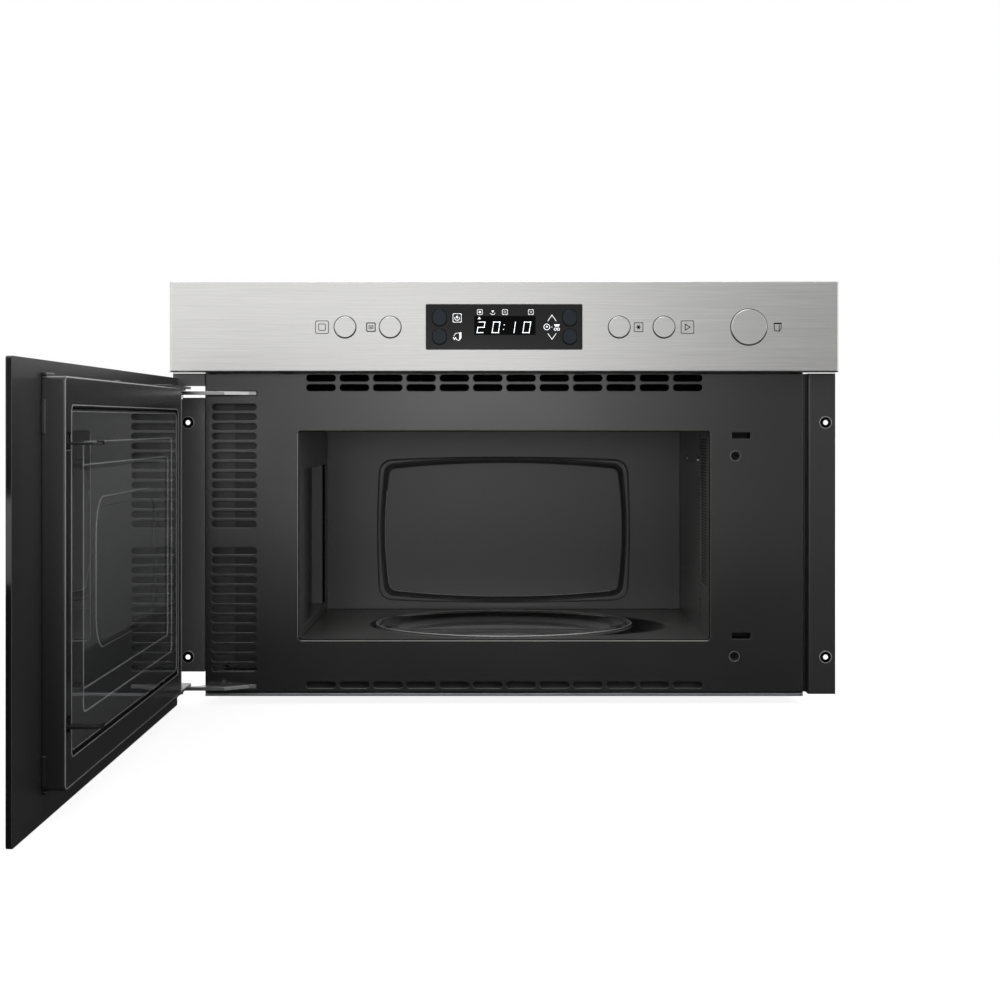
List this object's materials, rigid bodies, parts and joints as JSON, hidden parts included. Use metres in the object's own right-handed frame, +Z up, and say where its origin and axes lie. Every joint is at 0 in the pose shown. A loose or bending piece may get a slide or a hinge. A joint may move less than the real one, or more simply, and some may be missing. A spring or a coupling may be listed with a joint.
{
  "type": "built-in microwave",
  "caption": "Built-in microwave oven with a stainless control panel, a vented black front frame round an enamelled cavity with glass turntable, and a side-hinged glass door standing open.",
  "frame": {"origin": "centre of the body's underside, where the oven stands on the niche floor", "axes": "+X to the right seen from the front, +Y to the back, +Z up"},
  "size_m": [0.595, 0.9001, 0.3795],
  "materials": {
    "stainless": "brushed",
    "black_paint": "satin powder coat",
    "enamel": "grey enamel",
    "galvanised": "galvanised",
    "door_black_glass": "black glass",
    "clear_glass": "clear glass",
    "window_gloss": "black gloss",
    "key_plastic": "dark gloss",
    "black_plastic": "moulded",
    "bright_steel": "zinc plated",
    "white_nylon": "moulded",
    "grey_plastic": "moulded",
    "laminations": "varnished",
    "copper_enamel": "enamelled wire",
    "board_green": "solder mask",
    "can_aluminium": "drawn",
    "mica": "mica sheet",
    "lamp_glass": "bulb"
  },
  "bodies": {
    "body": {"air_grille": "enamel", "base_plate": "galvanised", "cavity_floor": "enamel", "cavity_lamp": "lamp_glass", "cavity_liner": "enamel", "component_deck": "galvanised", "control_board": "board_green", "display_module": "window_gloss", "display_window": "window_gloss", "fan_motor": "laminations", "fan_shroud": "black_plastic", "feed_cover": "mica", "filter_board": "board_green", "flange_left": "black_paint", "flange_right": "black_paint", "front_frame": "black_paint", "hinge_pins": "bright_steel", "hinge_plates": "bright_steel", "hv_capacitor": "can_aluminium", "intake_baffle": "galvanised", "lamp_holder": "grey_plastic", "latch_housing": "black_plastic", "magnetron": "can_aluminium", "mains_gland": "black_plastic", "microswitches": "black_plastic", "outer_wrap": "galvanised", "panel_carrier": "black_plastic", "panel_fascia": "stainless", "power_board": "board_green", "rear_cover": "galvanised", "screws": "bright_steel", "transformer_core": "laminations", "transformer_windings": "copper_enamel", "turntable_motor": "can_aluminium", "waveguide": "galvanised"},
    "door": {"door_glass": "door_black_glass", "door_frame": "black_paint", "door_pane": "clear_glass", "door_screen": "enamel", "door_brackets": "black_paint", "hinge_bushes": "white_nylon", "door_clips": "grey_plastic"},
    "latch": {"latch_hooks": "bright_steel"},
    "coupler": {"drive_coupler": "white_nylon"},
    "glass_plate": {"turntable_glass": "clear_glass"},
    "ring": {"roller_ring": "white_nylon"},
    "wheel_1": {"roller_wheel_1": "white_nylon"},
    "wheel_2": {"roller_wheel_2": "white_nylon"},
    "wheel_3": {"roller_wheel_3": "white_nylon"},
    "fan": {"fan_impeller": "black_plastic"},
    "lever": {"release_lever": "grey_plastic"},
    "door_push": {"door_button": "stainless"},
    "stop_push": {"stop_button": "stainless"},
    "power_push": {"power_button": "stainless"},
    "defrost_push": {"defrost_button": "stainless"},
    "start_push": {"start_button": "stainless"},
    "clock_push": {"clock_key": "key_plastic"},
    "mode_push": {"mode_key": "key_plastic"},
    "up_push": {"up_key": "key_plastic"},
    "down_push": {"down_key": "key_plastic"}
  },
  "joints": [
    {"name": "door_hinge", "type": "hinge", "parent": "body", "child": "door", "pos_m": [-0.28875, -0.16175, 0.1414], "axis": [0, 0, 1], "range_deg": [0, 90]},
    {"name": "latch_slide", "type": "slide", "parent": "door", "child": "latch", "axis": [0, 0, 1], "range_m": [0, 0.0018], "stiffness_N_per_m": 600, "springref_m": -0.004},
    {"name": "turntable_spin", "type": "hinge", "parent": "body", "child": "coupler", "pos_m": [0, 0.0005, 0.034], "axis": [0, 0, 1], "continuous": true},
    {"name": "turntable_lift", "type": "slide", "parent": "coupler", "child": "glass_plate", "axis": [0, 0, 1], "range_m": [0, 0.06]},
    {"name": "ring_spin", "type": "hinge", "parent": "body", "child": "ring", "pos_m": [0, 0.0005, 0.0342], "axis": [0, 0, 1], "continuous": true},
    {"name": "fan_spin", "type": "hinge", "parent": "body", "child": "fan", "pos_m": [-0.166, -0.0175, 0.303], "axis": [0, 1, 0], "continuous": true},
    {"name": "door_button_push", "type": "slide", "parent": "body", "child": "door_push", "axis": [0, 1, 0], "range_m": [0, 0.004], "stiffness_N_per_m": 900, "springref_m": -0.001},
    {"name": "lever_pivot", "type": "hinge", "parent": "body", "child": "lever", "pos_m": [0.2176, -0.1375, 0.3], "axis": [-1, 0, 0], "range_deg": [0, 7.62]},
    {"name": "wheel_spin_1", "type": "hinge", "parent": "ring", "child": "wheel_1", "pos_m": [0.095, 0.0005, 0.0342], "axis": [1, 0, 0], "continuous": true},
    {"name": "wheel_spin_2", "type": "hinge", "parent": "ring", "child": "wheel_2", "pos_m": [-0.0475, 0.08277, 0.0342], "axis": [-0.5, 0.866, 0], "continuous": true},
    {"name": "wheel_spin_3", "type": "hinge", "parent": "ring", "child": "wheel_3", "pos_m": [-0.0475, -0.08177, 0.0342], "axis": [-0.5, -0.866, 0], "continuous": true},
    {"name": "stop_push_slide", "type": "slide", "parent": "body", "child": "stop_push", "axis": [0, 1, 0], "range_m": [0, 0.0012], "stiffness_N_per_m": 500, "springref_m": -0.0006},
    {"name": "power_push_slide", "type": "slide", "parent": "body", "child": "power_push", "axis": [0, 1, 0], "range_m": [0, 0.0012], "stiffness_N_per_m": 500, "springref_m": -0.0006},
    {"name": "defrost_push_slide", "type": "slide", "parent": "body", "child": "defrost_push", "axis": [0, 1, 0], "range_m": [0, 0.0012], "stiffness_N_per_m": 500, "springref_m": -0.0006},
    {"name": "start_push_slide", "type": "slide", "parent": "body", "child": "start_push", "axis": [0, 1, 0], "range_m": [0, 0.0012], "stiffness_N_per_m": 500, "springref_m": -0.0006},
    {"name": "clock_push_slide", "type": "slide", "parent": "body", "child": "clock_push", "axis": [0, 1, 0], "range_m": [0, 0.0008], "stiffness_N_per_m": 500, "springref_m": -0.0006},
    {"name": "mode_push_slide", "type": "slide", "parent": "body", "child": "mode_push", "axis": [0, 1, 0], "range_m": [0, 0.0008], "stiffness_N_per_m": 500, "springref_m": -0.0006},
    {"name": "up_push_slide", "type": "slide", "parent": "body", "child": "up_push", "axis": [0, 1, 0], "range_m": [0, 0.0008], "stiffness_N_per_m": 500, "springref_m": -0.0006},
    {"name": "down_push_slide", "type": "slide", "parent": "body", "child": "down_push", "axis": [0, 1, 0], "range_m": [0, 0.0008], "stiffness_N_per_m": 500, "springref_m": -0.0006}
  ],
  "couplings": [
    {"joint": "ring_spin", "follows": "turntable_spin", "ratio": 0.5},
    {"joint": "lever_pivot", "follows": "door_button_push", "rad_per_m": 33.223},
    {"joint": "wheel_spin_1", "follows": "turntable_spin", "ratio": -7.3077},
    {"joint": "wheel_spin_2", "follows": "turntable_spin", "ratio": -7.3077},
    {"joint": "wheel_spin_3", "follows": "turntable_spin", "ratio": -7.3077}
  ]
}
